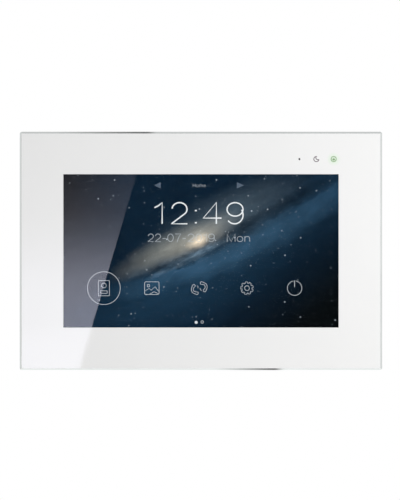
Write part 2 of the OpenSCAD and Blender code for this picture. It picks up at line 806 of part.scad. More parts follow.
module speaker_frame() color(chip_black) {
    flange_front = speaker_face + speaker_flange_t;
    basket_front = flange_front + speaker_basket_t;
    ring(speaker_w, speaker_h, speaker_w / 2 - 0.5, speaker_rim, speaker_face, flange_front, speaker_x,
        speaker_z);
    difference() {
        plate(speaker_w - 3, speaker_h - 3, speaker_w / 2 - 2, flange_front, basket_front, speaker_x,
            speaker_z);
        plate(speaker_w - 5, speaker_h - 5, speaker_w / 2 - 3, flange_front - through,
            basket_front - 0.6, speaker_x, speaker_z);
    }
}

module speaker_cone() color([0.25, 0.25, 0.26]) {
    cone_w = speaker_w - 2 * speaker_rim - 0.2;
    cone_h = speaker_h - 2 * speaker_rim - 0.2;
    plate(cone_w, cone_h, cone_w / 2 - 0.2, speaker_face + 0.6, speaker_face + 1, speaker_x, speaker_z);
    pin(4, speaker_face + 0.2, speaker_face + 0.6 + skin, speaker_x, speaker_z);
}

module speaker_magnet() color(steel)
    pin(magnet_r, speaker_face + speaker_flange_t + speaker_basket_t,
        speaker_face + speaker_flange_t + speaker_basket_t + magnet_t, speaker_x, speaker_z);

wall_bracket();
front_glass();
glass_print();
glass_tape();
optical_adhesive();
touch_sensor();
touch_ribbon();
lcd_gasket();
lcd_bezel();
lcd_cell();
diffuser_films();
light_guide();
backlight_strip();
lcd_tray();
lcd_clamps();
clamp_screws();
display_ribbon();
front_frame();
rear_cover();
case_screws();
main_board();
board_screws();
processor();
memory_chips();
video_decoders();
audio_amplifier();
crystals();
shield_can();
power_coils();
power_capacitors();
clock_cell_holder();
clock_cell();
door_sockets();
camera_sockets();
power_socket();
socket_pins();
display_socket();
touch_socket();
lead_sockets();
card_socket();
memory_card();
reset_switch();
reset_button();
indicator_board();
indicator_lamps();
light_guides();
microphone();
microphone_boot();
speaker_frame();
speaker_cone();
speaker_magnet();
speaker_gasket();
speaker_lead();
microphone_lead();
indicator_lead();
rating_label();
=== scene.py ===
# %% [markdown]
# # The look of a video intercom monitor
# The real thing is a flat glass panel with a touch display behind it, hung on a steel plate on the wall.
# Its measured model was made elsewhere and comes in first. It is the fixed frame: its parts are never
# moved or reshaped here. They get finishes, or a more finely made piece takes their place.

# %% Load the measured model
import json
import math

import bmesh
import bpy
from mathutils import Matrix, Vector


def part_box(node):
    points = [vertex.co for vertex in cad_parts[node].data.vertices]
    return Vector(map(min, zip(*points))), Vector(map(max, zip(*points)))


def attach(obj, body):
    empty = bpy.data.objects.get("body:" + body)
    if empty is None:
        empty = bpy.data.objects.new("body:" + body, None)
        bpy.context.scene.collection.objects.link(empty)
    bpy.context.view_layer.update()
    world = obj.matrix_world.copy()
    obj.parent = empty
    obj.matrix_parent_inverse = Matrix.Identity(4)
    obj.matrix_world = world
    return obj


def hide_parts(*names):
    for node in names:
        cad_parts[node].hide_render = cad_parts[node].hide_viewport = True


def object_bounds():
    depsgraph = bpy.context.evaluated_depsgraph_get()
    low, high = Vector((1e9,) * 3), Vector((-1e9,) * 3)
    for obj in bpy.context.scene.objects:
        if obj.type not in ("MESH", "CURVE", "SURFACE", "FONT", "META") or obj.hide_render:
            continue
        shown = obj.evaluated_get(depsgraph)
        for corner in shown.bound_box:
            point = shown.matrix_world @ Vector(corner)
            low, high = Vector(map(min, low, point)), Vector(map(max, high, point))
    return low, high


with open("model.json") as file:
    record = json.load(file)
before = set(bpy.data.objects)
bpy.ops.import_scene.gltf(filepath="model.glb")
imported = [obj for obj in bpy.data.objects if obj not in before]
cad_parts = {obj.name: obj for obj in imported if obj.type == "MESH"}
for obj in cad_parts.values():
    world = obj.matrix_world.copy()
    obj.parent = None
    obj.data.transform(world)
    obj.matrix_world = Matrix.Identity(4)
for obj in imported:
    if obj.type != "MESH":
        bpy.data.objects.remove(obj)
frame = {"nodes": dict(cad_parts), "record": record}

MM = 0.001
cad_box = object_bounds()
glass_low, glass_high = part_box("front_glass")
for word, corner in zip(("from", "to"), cad_box):
    print("object", word, [round(v / MM, 2) for v in corner], "mm")

# %% [markdown]
# ## Small tools for modelling
# An operator acts on everything that is selected, so each tool first deselects all. A start shape is made
# at its size and place, and then its place is put into its mesh, so that the object stays at the origin.

# %% Selecting, starting and settling a piece
def alone(obj):
    bpy.ops.object.select_all(action="DESELECT")
    obj.select_set(True)
    bpy.context.view_layer.objects.active = obj
    return obj


def settle(obj, name):
    alone(obj).name = name
    bpy.ops.object.transform_apply(location=True, rotation=True, scale=True)
    return obj


def block(name, low, high):
    bpy.ops.object.select_all(action="DESELECT")
    bpy.ops.mesh.primitive_cube_add(size=1, location=(Vector(low) + Vector(high)) / 2)
    bpy.context.object.scale = Vector(high) - Vector(low)
    return settle(bpy.context.object, name)


def rod(name, radius, back, front, x, z, sides):
    """A round bar along the depth, from y = back to y = front."""
    bpy.ops.object.select_all(action="DESELECT")
    bpy.ops.mesh.primitive_cylinder_add(vertices=sides, radius=radius, depth=abs(front - back),
        location=(x, (front + back) / 2, z), rotation=(math.pi / 2, 0, 0))
    return settle(bpy.context.object, name)


# %% [markdown]
# In edit mode the faces or edges to work on are chosen by where they are or which way they look, which is
# surer than by number.

# %% Choosing faces and edges, and using modifiers
def pick(obj, kind, test):
    """Starts edit mode on obj with only the FACE, EDGE or VERT items that pass test selected."""
    alone(obj)
    bpy.ops.object.mode_set(mode="EDIT")
    bpy.ops.mesh.select_mode(type=kind)
    bpy.ops.mesh.select_all(action="DESELECT")
    mesh = bmesh.from_edit_mesh(obj.data)
    mesh.normal_update()
    items = {"FACE": mesh.faces, "EDGE": mesh.edges, "VERT": mesh.verts}[kind]
    count = 0
    for item in items:
        if test(item):
            item.select_set(True)
            count += 1
    mesh.select_flush_mode()
    bmesh.update_edit_mesh(obj.data)
    return count


def done():
    bpy.ops.object.mode_set(mode="OBJECT")


def modify(obj, kind, **settings):
    alone(obj)
    bpy.ops.object.modifier_add(type=kind)
    modifier = obj.modifiers[-1]
    for name, value in settings.items():
        setattr(modifier, name, value)
    bpy.ops.object.modifier_apply(modifier=modifier.name)


def middle(item):
    """Centre of an edge."""
    return (item.verts[0].co + item.verts[1].co) / 2


def cut(obj, tool):
    modify(obj, "BOOLEAN", operation="DIFFERENCE", solver="EXACT", object=tool)
    bpy.data.objects.remove(tool)


def join(objects, name):
    bpy.ops.object.select_all(action="DESELECT")
    for obj in objects:
        obj.select_set(True)
    bpy.context.view_layer.objects.active = objects[0]
    bpy.ops.object.join()
    bpy.context.object.name = name
    return bpy.context.object


def hang(obj, body, slot, *replaced, angle=32):
    """Smooths a finished piece, fixes it to its body and hides the measured parts that it stands for. Faces
    that look straight along an axis stay flat, so that they shine and mirror without a bend."""
    alone(obj)
    bpy.ops.object.shade_smooth_by_angle(angle=math.radians(angle))
    for face in obj.data.polygons:
        if max(abs(v) for v in face.normal) > 0.9999:
            face.use_smooth = False
    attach(obj, body)
    if replaced:
        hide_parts(*replaced)
    print(obj.name, "on", body, "with", len(obj.data.polygons), "faces")


# %% [markdown]
# ## Camera
# The panel is seen straight from the front through a long lens, so its sides don't show. The room, its
# lamps and the floor come last, when there is something to light.

# %% Camera
VIEW_DISTANCE = 1.5
VIEW_HEIGHT = 0.28  # how much the view takes in at the glass, from top to bottom
SENSOR = 36.0  # long side of the camera's sensor, in millimetres
AIM_X, AIM_Z = -0.56 * MM, 0.5 * MM
bpy.ops.object.select_all(action="DESELECT")
bpy.ops.object.camera_add(location=(AIM_X, -VIEW_DISTANCE, AIM_Z), rotation=(math.pi / 2, 0, 0))
camera = bpy.context.object
camera.data.sensor_width = SENSOR
camera.data.lens = SENSOR * (VIEW_DISTANCE + glass_low.y) / VIEW_HEIGHT
scene = bpy.context.scene
scene.camera = camera
scene.view_settings.view_transform = "Standard"
print("lens", round(camera.data.lens, 1), "mm")

# %% [markdown]
# ## Wiring materials
# A material is a tree of nodes. A few short words keep the wiring readable: `add` makes a node, `math`
# does a sum, `mix` blends two colours, `place` gives coordinates on the piece and `apart` splits them.
# Colours are written as 0 to 255 and turned into light values.

# %% Words for node trees
def rgb(r, g, b):
    def light(v):
        v /= 255
        return v / 12.92 if v <= 0.04045 else ((v + 0.055) / 1.055) ** 2.4
    return (light(r), light(g), light(b), 1.0)


class Wiring:
    def __init__(self, tree):
        self.tree = tree

    def add(self, kind, values=None, out=0, **settings):
        """Makes a node with its settings and inputs. A socket is linked, anything else is a value."""
        made = self.tree.nodes.new("ShaderNode" + kind)
        for name, value in settings.items():
            setattr(made, name, value)
        for name, value in (values or {}).items():
            if isinstance(value, bpy.types.NodeSocket):
                self.tree.links.new(value, made.inputs[name])
            else:
                made.inputs[name].default_value = value
        return made.outputs[out] if made.outputs and out is not None else made

    def math(self, operation, *values):
        return self.add("Math", dict(enumerate(values)), operation=operation)

    def mix(self, amount, first, second, way="MIX"):
        return self.add("Mix", {0: amount, 6: first, 7: second}, out=2, data_type="RGBA", blend_type=way)

    def grey(self, value):
        """The same number for red, green and blue."""
        return self.add("CombineColor", {0: value, 1: value, 2: value})

    def place(self, location=(0, 0, 0), turn=(0, 0, 0), scale=(1, 1, 1)):
        """Object coordinates, moved so that location is the origin, turned and scaled."""
        here = self.add("TexCoord", out="Object")
        moved = self.add("VectorMath", {0: here, 1: location}, operation="SUBTRACT")
        return self.add("Mapping", {"Vector": moved, "Rotation": turn, "Scale": scale})

    def apart(self, vector):
        return self.add("SeparateXYZ", {0: vector}, out=None).outputs


def group(name, inputs, outputs):
    """An empty node group with named sockets: inputs as {name: value}, outputs as {name: kind}."""
    tree = bpy.data.node_groups.new(name, "ShaderNodeTree")
    for label, value in inputs.items():
        kind = "NodeSocketFloat" if isinstance(value, float) else "NodeSocketVector"
        socket = tree.interface.new_socket(name=label, in_out="INPUT", socket_type=kind)
        socket.default_value = value
    for label, kind in outputs.items():
        tree.interface.new_socket(name=label, in_out="OUTPUT", socket_type="NodeSocket" + kind)
    source = tree.nodes.new("NodeGroupInput")
    sink = tree.nodes.new("NodeGroupOutput")
    return tree, Wiring(tree), source.outputs, sink.inputs


def blank(name):
    """A new material without nodes, and its wiring."""
    material = bpy.data.materials.new(name)
    material.use_nodes = True
    material.node_tree.nodes.clear()
    return material, Wiring(material.node_tree)


# %% [markdown]
# ## Grain
# No real surface is perfectly even. Moulded plastic carries the fine bite of its tool, sheet metal the
# lines of its rollers, and every finish has slow patches where it is a touch duller. One group gives the
# bumps and the patches to all of them: the size of the grain and how far it is drawn out are its inputs.

# %% The grain group
grain_tree, g, g_in, g_out = group("surface_grain", {"Grain Size": 0.0003, "Stretch": (1.0, 1.0, 1.0)},
    {"Height": "Float", "Patch": "Float"})
g_place = g.add("VectorMath", {0: g.add("TexCoord", out="Object"), 1: g_in["Stretch"]}, operation="DIVIDE")
g_scale = g.math("DIVIDE", 1.0, g_in["Grain Size"])
g_fine = g.add("TexNoise", {"Vector": g_place, "Scale": g_scale, "Detail": 2.0, "Roughness": 0.6})
g_slow = g.add("TexNoise", {"Vector": g_place, "Scale": 28.0, "Detail": 3.0, "Roughness": 0.55})
for label, value in (("Height", g_fine), ("Patch", g.add("MapRange", {0: g_slow, 1: 0.3, 2: 0.7}))):
    grain_tree.links.new(value, g_out[label])
print("grain group with", len(grain_tree.nodes), "nodes")


# %% [markdown]
# A finish is then one call: its colour, how rough it is, the size of its grain in millimetres and how deep
# that is. `shade` and `spread` say how much darker and duller its slow patches are. `paint` can change the
# colour over the surface, and `relief` can add its own bumps.

# %% A finish with grain
finishes = {}


def finish(name, colour, rough, grain=0.35, depth=0.01, metal=0.0, stretch=(1, 1, 1), spread=0.08,
           shade=0.93, paint=None, relief=None, relief_depth=0.0, **plain):
    material, t = blank(name)
    skin = t.add("Group", {"Grain Size": grain * MM, "Stretch": stretch}, out=None, node_tree=grain_tree)
    patch = skin.outputs["Patch"]
    dull = tuple(v * shade for v in colour[:3]) + (1.0,)
    base = t.mix(patch, dull, colour)
    if paint:
        base = paint(t, base)
    roughness = rough
    if spread:
        roughness = t.math("MULTIPLY_ADD", patch, -spread, min(rough + spread / 2, 1.0))
    look = {"Base Color": base, "Roughness": roughness, "Metallic": metal}
    if depth:
        look["Normal"] = t.add("Bump", {"Height": skin.outputs["Height"], "Distance": depth * MM})
    if relief:
        look["Normal"] = t.add("Bump", {"Height": relief(t), "Distance": relief_depth * MM,
            "Normal": look["Normal"]})
    shader = t.add("BsdfPrincipled", look, out=None)
    for label, value in plain.items():
        shader.inputs[label.replace("_", " ")].default_value = value
    t.add("OutputMaterial", {"Surface": shader.outputs[0]})
    finishes[name] = material


def paint_over(obj, *names):
    obj.data.materials.clear()
    for name in names:
        obj.data.materials.append(finishes[name])


# %% [markdown]
# ## The white plastics and the panel's own finishes
# The case is ABS with a fine spark-eroded tool finish. The print behind the glass is glossy white, because
# it is seen through polished glass. Where the ring lamp shines through it, it glows faintly green.

# %% White case and back print
finish("white_case", rgb(226, 227, 226), 0.42, grain=0.22, depth=0.012, shade=0.975)
MARK_Z = 0.0514  # height of the marks above the window
RING_X = 0.0743
GLOW_FROM, GLOW_TO, GLOW_SHARE = 1.4 * MM, 4.4 * MM, 0.35


def lamp_glow(t, base):
    far = t.add("VectorMath", {0: t.place((RING_X, glass_low.y, MARK_Z), scale=(1, 0.2, 1))},
        out="Value", operation="LENGTH")
    near = t.add("MapRange", {0: far, 1: GLOW_FROM, 2: GLOW_TO, 3: GLOW_SHARE, 4: 0.0},
        interpolation_type="SMOOTHSTEP")
    return t.mix(near, base, rgb(206, 240, 200))


finish("white_print", rgb(241, 241, 241), 0.03, grain=0.5, depth=0.0004, shade=0.99, spread=0.02,
    paint=lamp_glow)
finish("print_back", rgb(228, 228, 228), 0.3, grain=0.15, depth=0.004, shade=0.98)
print(len(finishes), "finishes")

# %% [markdown]
# ## Clear parts
# The window in the panel is clear glass, bonded to the touch sensor with clear adhesive. Bonded layers
# hardly reflect where they meet, while loose ones in a stack would each mirror the room and darken the
# display. So the sensor and the adhesive are almost see-through skins here, and the window bends light a
# little less than loose glass. The polished edge is pale and mirrors the room.

# %% Glass finishes
def clear(name, colour, ior, rough=0.0):
    finish(name, colour, rough, grain=0.6, depth=0.0, shade=0.985, spread=0.0, Transmission_Weight=1.0,
        IOR=ior)


clear("front_glass", rgb(250, 253, 253), 1.44)
clear("clear_acrylic", rgb(246, 250, 250), 1.49, rough=0.08)
for name in ("clear_adhesive", "sensor_glass"):
    finish(name, rgb(200, 208, 214), 0.1, grain=0.5, depth=0.0, Alpha=0.001, Specular_IOR_Level=0.0)
finish("glass_edge", rgb(239, 243, 242), 0.06, grain=0.4, depth=0.001, metal=0.8, spread=0.03)
print(len(finishes), "finishes")

# %% [markdown]
# ## The picture on the display
# The monitor's home screen shows a starry sky. It is painted by nodes: a night blue that darkens to one
# side, a soft band of light made of stretched round glows, a torn dust lane across it, and two layers of
# stars. A group holds it, because the half-clear date line shows the same sky through its strokes. First
# come the two brushes that it is painted with.

# %% Brushes for the sky
sky_tree, s, _, s_out = group("night_sky", {}, {"Color": "Color"})
BAND_SLANT = 27  # degrees by which the band of light rises to the right


def glow(x, z, long, wide, power, wobble, size, turn=BAND_SLANT):
    """A stretched round glow on the screen: its centre, half length and half width in millimetres, how
    fast it fades, how far its outline wobbles and how finely, and its slant in degrees."""
    here = s.place((x * MM, 0, z * MM))
    cloud = s.add("TexNoise", {"Vector": here, "Scale": float(size), "Detail": 5.0, "Roughness": 0.62},
        out="Color")
    push = s.add("VectorMath", {0: cloud, 1: (0.5, 0.5, 0.5)}, operation="SUBTRACT")
    push = s.add("VectorMath", {0: push, "Scale": wobble * MM}, operation="SCALE")
    here = s.add("VectorMath", {0: here, 1: push}, operation="ADD")
    turned = s.add("Mapping", {"Vector": here, "Rotation": (0, math.radians(turn), 0)})
    scaled = s.add("VectorMath", {0: turned, 1: (1 / (long * MM), 0.0, 1 / (wide * MM))},
        operation="MULTIPLY")
    ball = s.add("TexGradient", {"Vector": scaled}, out="Fac", gradient_type="SPHERICAL")
    return s.math("POWER", ball, power)


def lit(base, amount, colour):
    """Adds light of one colour where amount is high."""
    return s.mix(s.math("MINIMUM", amount, 1.0), base, s.mix(1.0, base, colour, "ADD"))


# %% [markdown]
# Night skies are darkest away from the band, so the blue fades along a slanted line to the lower right and
# once more into the upper left corner. The glows are then laid on from the widest haze to the small
# bright core.

# %% Night blue and the band of light
s_x, _, s_z = s.apart(s.place())
FADE_SLOPE = 1.25
fade = s.add("MapRange", {0: s.math("SUBTRACT", s_x, s.math("MULTIPLY", s_z, FADE_SLOPE)),
    1: 0.035, 2: 0.115}, interpolation_type="SMOOTHSTEP")
sky = s.mix(fade, rgb(14, 34, 52), rgb(8, 11, 13))
corner = s.math("MULTIPLY", s.add("MapRange", {0: s_x, 1: -0.040, 2: -0.074}),
    s.add("MapRange", {0: s_z, 1: -0.035, 2: 0.02}))
sky = s.mix(corner, sky, rgb(5, 7, 10))
GLOWS = (
    ((-17, -24, 80, 26, 1.2, 12, 45, 20), (22, 45, 62)),  # wide haze below
    ((50, 15, 62, 22, 1.3, 12, 45, 29), (14, 30, 42)),  # wide haze on the right
    ((34, 7.5, 50, 12, 1.1, 9, 60, 29), (46, 72, 92)),  # blue flank on the right
    ((-11, -11, 50, 10, 1.1, 9, 70, 18), (48, 76, 98)),  # blue flank below
    ((74, 33, 32, 14, 1.0, 7, 60, 29), (36, 60, 80)),  # far end of the band
    ((12, 17, 60, 18, 1.3, 9, 55), (80, 92, 99)),  # grey haze above
    ((-20, 0.5, 36, 10, 1.1, 7, 80), (124, 121, 110)),  # warm arm on the left
    ((-1, 8, 30, 9, 1.5, 6, 90), (152, 142, 124)),  # warm middle
    ((-1.6, 5.4, 9, 4.0, 1.5, 4, 160), (255, 226, 190)))  # bright core
for place, colour in GLOWS:
    sky = lit(sky, glow(*place), rgb(*colour))
print(len(GLOWS), "glows")

# %% [markdown]
# Dust hides parts of the band. Its lane is three thin glows, filled with a dark blue through a noise that
# is drawn out along the band, and a pale streak runs beside it. A star is the round spot at the middle of
# a Voronoi cell, and the cell's own random colour decides whether it is seen.

# %% Dust and stars
torn = s.add("TexNoise", {"Vector": s.add("Mapping", {"Vector": s.place(turn=(0, math.radians(BAND_SLANT),
    0)), "Scale": (0.35, 1, 1)}), "Scale": 330.0, "Detail": 6.0, "Roughness": 0.7})
torn = s.add("MapRange", {0: torn, 1: 0.36, 2: 0.62})
dust = glow(-15, -7.8, 36, 2.8, 0.8, 9, 150, 19)
for place in ((23, 11.6, 25, 4.2, 0.7, 9, 140, 34), (57, 31.4, 34, 4.6, 0.6, 10, 130, 29)):
    dust = s.math("MAXIMUM", dust, glow(*place))
dust = s.math("MULTIPLY", dust, s.math("MULTIPLY_ADD", torn, 0.5, 0.5))
sky = s.mix(dust, sky, rgb(11, 25, 38))
streak = glow(-4, -2.8, 32, 2.6, 0.9, 4, 160)
sky = lit(sky, s.math("MULTIPLY", streak, torn), rgb(104, 122, 136))
cloudy = s.math("MULTIPLY_ADD", torn, 0.22, 0.84)
sky = s.mix(1.0, sky, s.grey(cloudy), "MULTIPLY")
flat_place = s.add("CombineXYZ", {0: s_x, 1: s_z})
FAINT_STARS = (4.6, 0.26, 8.0, 0.4)  # spacing and radius in millimetres, rarity, strength
BRIGHT_STARS = (9.5, 0.36, 3.0, 0.75)
for spacing, radius, rarity, strength in (FAINT_STARS, BRIGHT_STARS):
    grid = s.add("TexVoronoi", {"Vector": flat_place, "Scale": 1 / (spacing * MM)}, out=None,
        voronoi_dimensions="2D")
    edge = radius / spacing
    spot = s.add("MapRange", {0: grid.outputs["Distance"], 1: edge * 1.5, 2: edge * 0.4})
    chance = s.apart(grid.outputs["Color"])[0]
    seen = s.math("MULTIPLY", spot, s.math("POWER", chance, rarity))
    sky = lit(sky, s.math("MULTIPLY", seen, strength), rgb(220, 228, 240))
sky_tree.links.new(sky, s_out["Color"])
print("sky group with", len(sky_tree.nodes), "nodes")


# %% [markdown]
# A lit screen gives off its own light and reflects none of note, so it is a black surface with emission,
# with the faint lines of its rows of cells. Letters and icons are the same screen, nearly white. The date
# and the arrows are half clear.

# %% Screen finishes
def screen(name, colour, share):
    """Screen light: share of colour over the sky behind it."""
    material, t = blank(name)
    sky_here = t.add("Group", node_tree=sky_tree)
    grid = t.add("TexWave", {"Vector": t.place(), "Scale": 950.0}, out="Fac")
    fine = t.math("MULTIPLY_ADD", grid, 0.04, 0.96)
    light = t.mix(share, sky_here, colour) if share else sky_here
    light = t.mix(1.0, light, t.grey(fine), "MULTIPLY")
    shader = t.add("BsdfPrincipled", {"Base Color": t.mix(grid, rgb(3, 4, 5), rgb(6, 7, 8)),
        "Roughness": 0.25, "Specular IOR Level": 0.0, "Emission Color": light,
        "Emission Strength": 1.0}, out=None)
    t.add("OutputMaterial", {"Surface": shader.outputs[0]})
    finishes[name] = material


screen("display", rgb(0, 0, 0), 0.0)
screen("screen_white", rgb(250, 252, 255), 0.97)
screen("screen_icon", rgb(236, 240, 246), 0.92)
screen("screen_soft", rgb(208, 214, 222), 0.56)
screen("screen_dim", rgb(130, 145, 165), 0.45)
finish("cell_black", rgb(14, 15, 17), 0.3, grain=0.5, depth=0.001)
print(len(finishes), "finishes")

# %% [markdown]
# ## The front glass
# A real panel is cut, its corners are ground round, a bevel is ground along its front edge and the
# microphone hole is drilled. The piece is made in that order from a box of the measured size. The real
# print is baked onto the back of the glass and looks like gloss paint from the front, so the front face
# of the surround takes the print's finish, and the window is a face of the same sheet.

# %% Cut and grind the glass
CORNER, BEVEL_W, BEVEL_DROP, ARRIS = 1.2 * MM, 1.0 * MM, 0.6 * MM, 0.08 * MM
panel = block("glass_panel", glass_low, glass_high)
pick(panel, "EDGE", lambda e: abs((e.verts[0].co - e.verts[1].co).normalized().y) > 0.9)
bpy.ops.mesh.bevel(offset=CORNER, segments=6)
done()
pick(panel, "FACE", lambda f: f.normal.y < -0.9)
bpy.ops.mesh.inset(thickness=BEVEL_W)
done()
edge_x, edge_z = glass_high.x - BEVEL_W * 0.6, glass_high.z - BEVEL_W * 0.6
front_y = glass_low.y + 0.01 * MM


def outer_rim(v):
    """Whether a point lies on the panel's outline at the front, round corners included."""
    x, z = abs(v.co.x), abs(v.co.z)
    in_corner = min(x - glass_high.x, z - glass_high.z) > -CORNER
    from_centre = Vector((x - glass_high.x + CORNER, z - glass_high.z + CORNER)).length
    return v.co.y < front_y and (x > edge_x or z > edge_z or in_corner and from_centre > CORNER * 0.9)


print("rim points", pick(panel, "VERT", outer_rim))
bpy.ops.transform.translate(value=(0, BEVEL_DROP, 0))
done()
pick(panel, "EDGE", lambda e: middle(e).y < front_y and max(abs(middle(e).x) - glass_high.x,
    abs(middle(e).z) - glass_high.z) > -BEVEL_W * 1.4)
bpy.ops.mesh.bevel(offset=ARRIS, segments=2)
done()

# %% [markdown]
# The hole is drilled with a boolean, and the window's outline is cut into the front and back with four
# bisecting planes, so that its faces can take clear glass.

# %% Drill the hole, mark the window and give each face its finish
WINDOW = Vector((77.1, 0, 42.95)) * MM  # half the lit picture, which the window just frames
MIC_X, MIC_R = 0.0551, 0.55 * MM


def frame_lines(obj, test):
    """Cuts the faces that pass test along the four sides of the window."""
    for axis in (0, 2):
        for side in (-1, 1):
            pick(obj, "FACE", test)
            spot, line = [0.0, 0.0, 0.0], [0.0, 0.0, 0.0]
            spot[axis], line[axis] = side * WINDOW[axis], 1.0
            bpy.ops.mesh.bisect(plane_co=spot, plane_no=line)
            done()


def in_frame(face):
    return abs(face.center.x) < WINDOW.x and abs(face.center.z) < WINDOW.z


cut(panel, rod("drill", MIC_R, glass_high.y + MM, glass_low.y - MM, MIC_X, MARK_Z, 32))
frame_lines(panel, lambda f: abs(f.normal.y) > 0.99)
paint_over(panel, "white_print", "front_glass", "glass_edge", "print_back")
for face in panel.data.polygons:
    flat = abs(face.normal.y) > 0.99
    face.material_index = 2 if not flat else 1 if in_frame(face) else 0 if face.normal.y < 0 else 3
hang(panel, "monitor", "front_glass", "front_glass", angle=20)

# %% [markdown]
# ## The display cell
# Behind the window lies the liquid crystal cell. Only its middle lights up, and its black border hides
# behind the print. The cell is a box with softened edges, and its lit area is cut out of the front face.

# %% Display cell with its lit area
cell_low, cell_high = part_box("lcd_cell")
cell = block("display_cell", cell_low, cell_high)
pick(cell, "EDGE", lambda e: True)
bpy.ops.mesh.bevel(offset=0.1 * MM, segments=2)
done()
frame_lines(cell, lambda f: f.normal.y < -0.99)
paint_over(cell, "cell_black", "display")
for face in cell.data.polygons:
    face.material_index = int(face.normal.y < -0.99 and in_frame(face))
hang(cell, "monitor", "display", "lcd_cell")

# %% [markdown]
# ## Letters and icons on the screen
# The home screen has a clock, a date line and a row of icons, all in thin strokes. Each stroke is a line of
# points with a round width, turned into a mesh and pressed flat against the screen.

# %% Strokes and filled shapes
INK_Y = cell_low.y - 0.06 * MM


def arc(x, z, rx, rz, start, end, steps=18):
    """Points on an ellipse, from one angle to another in degrees."""
    turn = [math.radians(start + (end - start) * i / steps) for i in range(steps + 1)]
    return [(x + rx * math.cos(a), z + rz * math.sin(a)) for a in turn]


def curve_mesh(name, lines, y, flat, **settings):
    """A curve of straight-sided lines, as a mesh on the plane at depth y. Lengths are in millimetres."""
    data = bpy.data.curves.new(name, "CURVE")
    data.dimensions = "2D" if flat else "3D"
    for key, value in settings.items():
        setattr(data, key, value)
    for points in lines:
        closed = len(points) > 2 and math.dist(points[0], points[-1]) < 0.01
        points = points[:-1] if closed else points
        spline = data.splines.new("POLY")
        spline.points.add(len(points) - 1)
        for point, (x, z) in zip(spline.points, points):
            point.co = (x * MM, z * MM, 0, 1) if flat else (x * MM, 0, z * MM, 1)
        spline.use_cyclic_u = closed or flat
    obj = bpy.data.objects.new(name, data)
    scene.collection.objects.link(obj)
    alone(obj)
    bpy.ops.object.convert(target="MESH")
    obj = bpy.context.object
    if flat:
        obj.rotation_euler.x = math.pi / 2
    obj.location.y = y
    return obj


def strokes(name, lines, width, y=INK_Y, thick=0.08):
    """Lines of one width in millimetres, with round ends, pressed flat."""
    obj = curve_mesh(name, lines, y, False, bevel_depth=width * MM / 2, bevel_resolution=1,
        use_fill_caps=True)
    obj.scale.y = thick / width
    return settle(obj, name)


def blot(name, outlines, y=INK_Y, thick=0.06):
    """Filled flat shapes; an outline inside another is a hole."""
    obj = settle(curve_mesh(name, outlines, y, True, fill_mode="BOTH", extrude=thick * MM / 2), name)
    pick(obj, "FACE", lambda f: True)
    bpy.ops.mesh.remove_doubles(threshold=1e-7)
    bpy.ops.mesh.normals_make_consistent(inside=False)
    done()
    return obj


print("ink lies", round((cell_low.y - INK_Y) / MM, 2), "mm before the cell")

# %% [markdown]
# The letter shapes are plain drafting letters, each a few lines and arcs in a box one unit high. Only the
# ones that this screen shows are drawn.

# %% Letter shapes
LETTERS = {
    "0": [arc(0.34, 0.5, 0.34, 0.5, 0, 360)],
    "1": [[(0, 0.76), (0.2, 0.86), (0.36, 1), (0.36, 0)]],
    "2": [arc(0.35, 0.69, 0.33, 0.31, 175, -38) + [(0.02, 0.02), (0.0, 0), (0.7, 0)]],
    "4": [[(0.56, 0), (0.56, 1), (0, 0.27), (0.78, 0.27)]],
    "7": [[(0, 1), (0.66, 1), (0.4, 0.5), (0.24, 0)]],
    "9": [arc(0.34, 0.68, 0.34, 0.32, 0, 360), arc(0.32, 0.42, 0.36, 0.42, 35, -140)],
    "-": [[(0, 0.4), (0.42, 0.4)]],
    "H": [[(0, 0), (0, 1)], [(0.72, 0), (0.72, 1)], [(0, 0.52), (0.72, 0.52)]],
    "M": [[(0, 0), (0, 1), (0.44, 0), (0.88, 1), (0.88, 0)]],
    "e": [[(0.02, 0.36), (0.6, 0.36)] + arc(0.31, 0.34, 0.29, 0.34, 10, 320)],
    "m": [[(0, 0), (0, 0.68)], arc(0.25, 0.43, 0.25, 0.25, 180, 0) + [(0.5, 0)],
          arc(0.75, 0.43, 0.25, 0.25, 180, 0) + [(1.0, 0)]],
    "n": [[(0, 0), (0, 0.68)], arc(0.27, 0.4, 0.27, 0.28, 180, 0) + [(0.54, 0)]],
    "o": [arc(0.32, 0.34, 0.32, 0.34, 0, 360)],
}


def written(text, left, right, base, height, gap=0.22):
    """Strokes of a word set between two places, with its feet at base."""
    widths = [max(x for line in LETTERS[c] for x, z in line) for c in text]
    natural = sum(widths) + gap * (len(text) - 1)
    scale, lines, at = (right - left) / natural, [], 0.0
    for c, width in zip(text, widths):
        lines += [[(left + (at + x) * scale, base + z * height) for x, z in line] for line in LETTERS[c]]
        at += width + gap
    return lines


print(len(LETTERS), "letter shapes")

# %% [markdown]
# The clock's figures are the largest, with a stroke of a little under a millimetre. The date is smaller
# and half clear, and the page's title smaller still, between two arrows.

# %% Clock, date and title
def line_of(words, base, height):
    """Strokes of several words on one line, each as (text, left, right)."""
    return [line for text, left, right in words for line in written(text, left, right, base, height)]


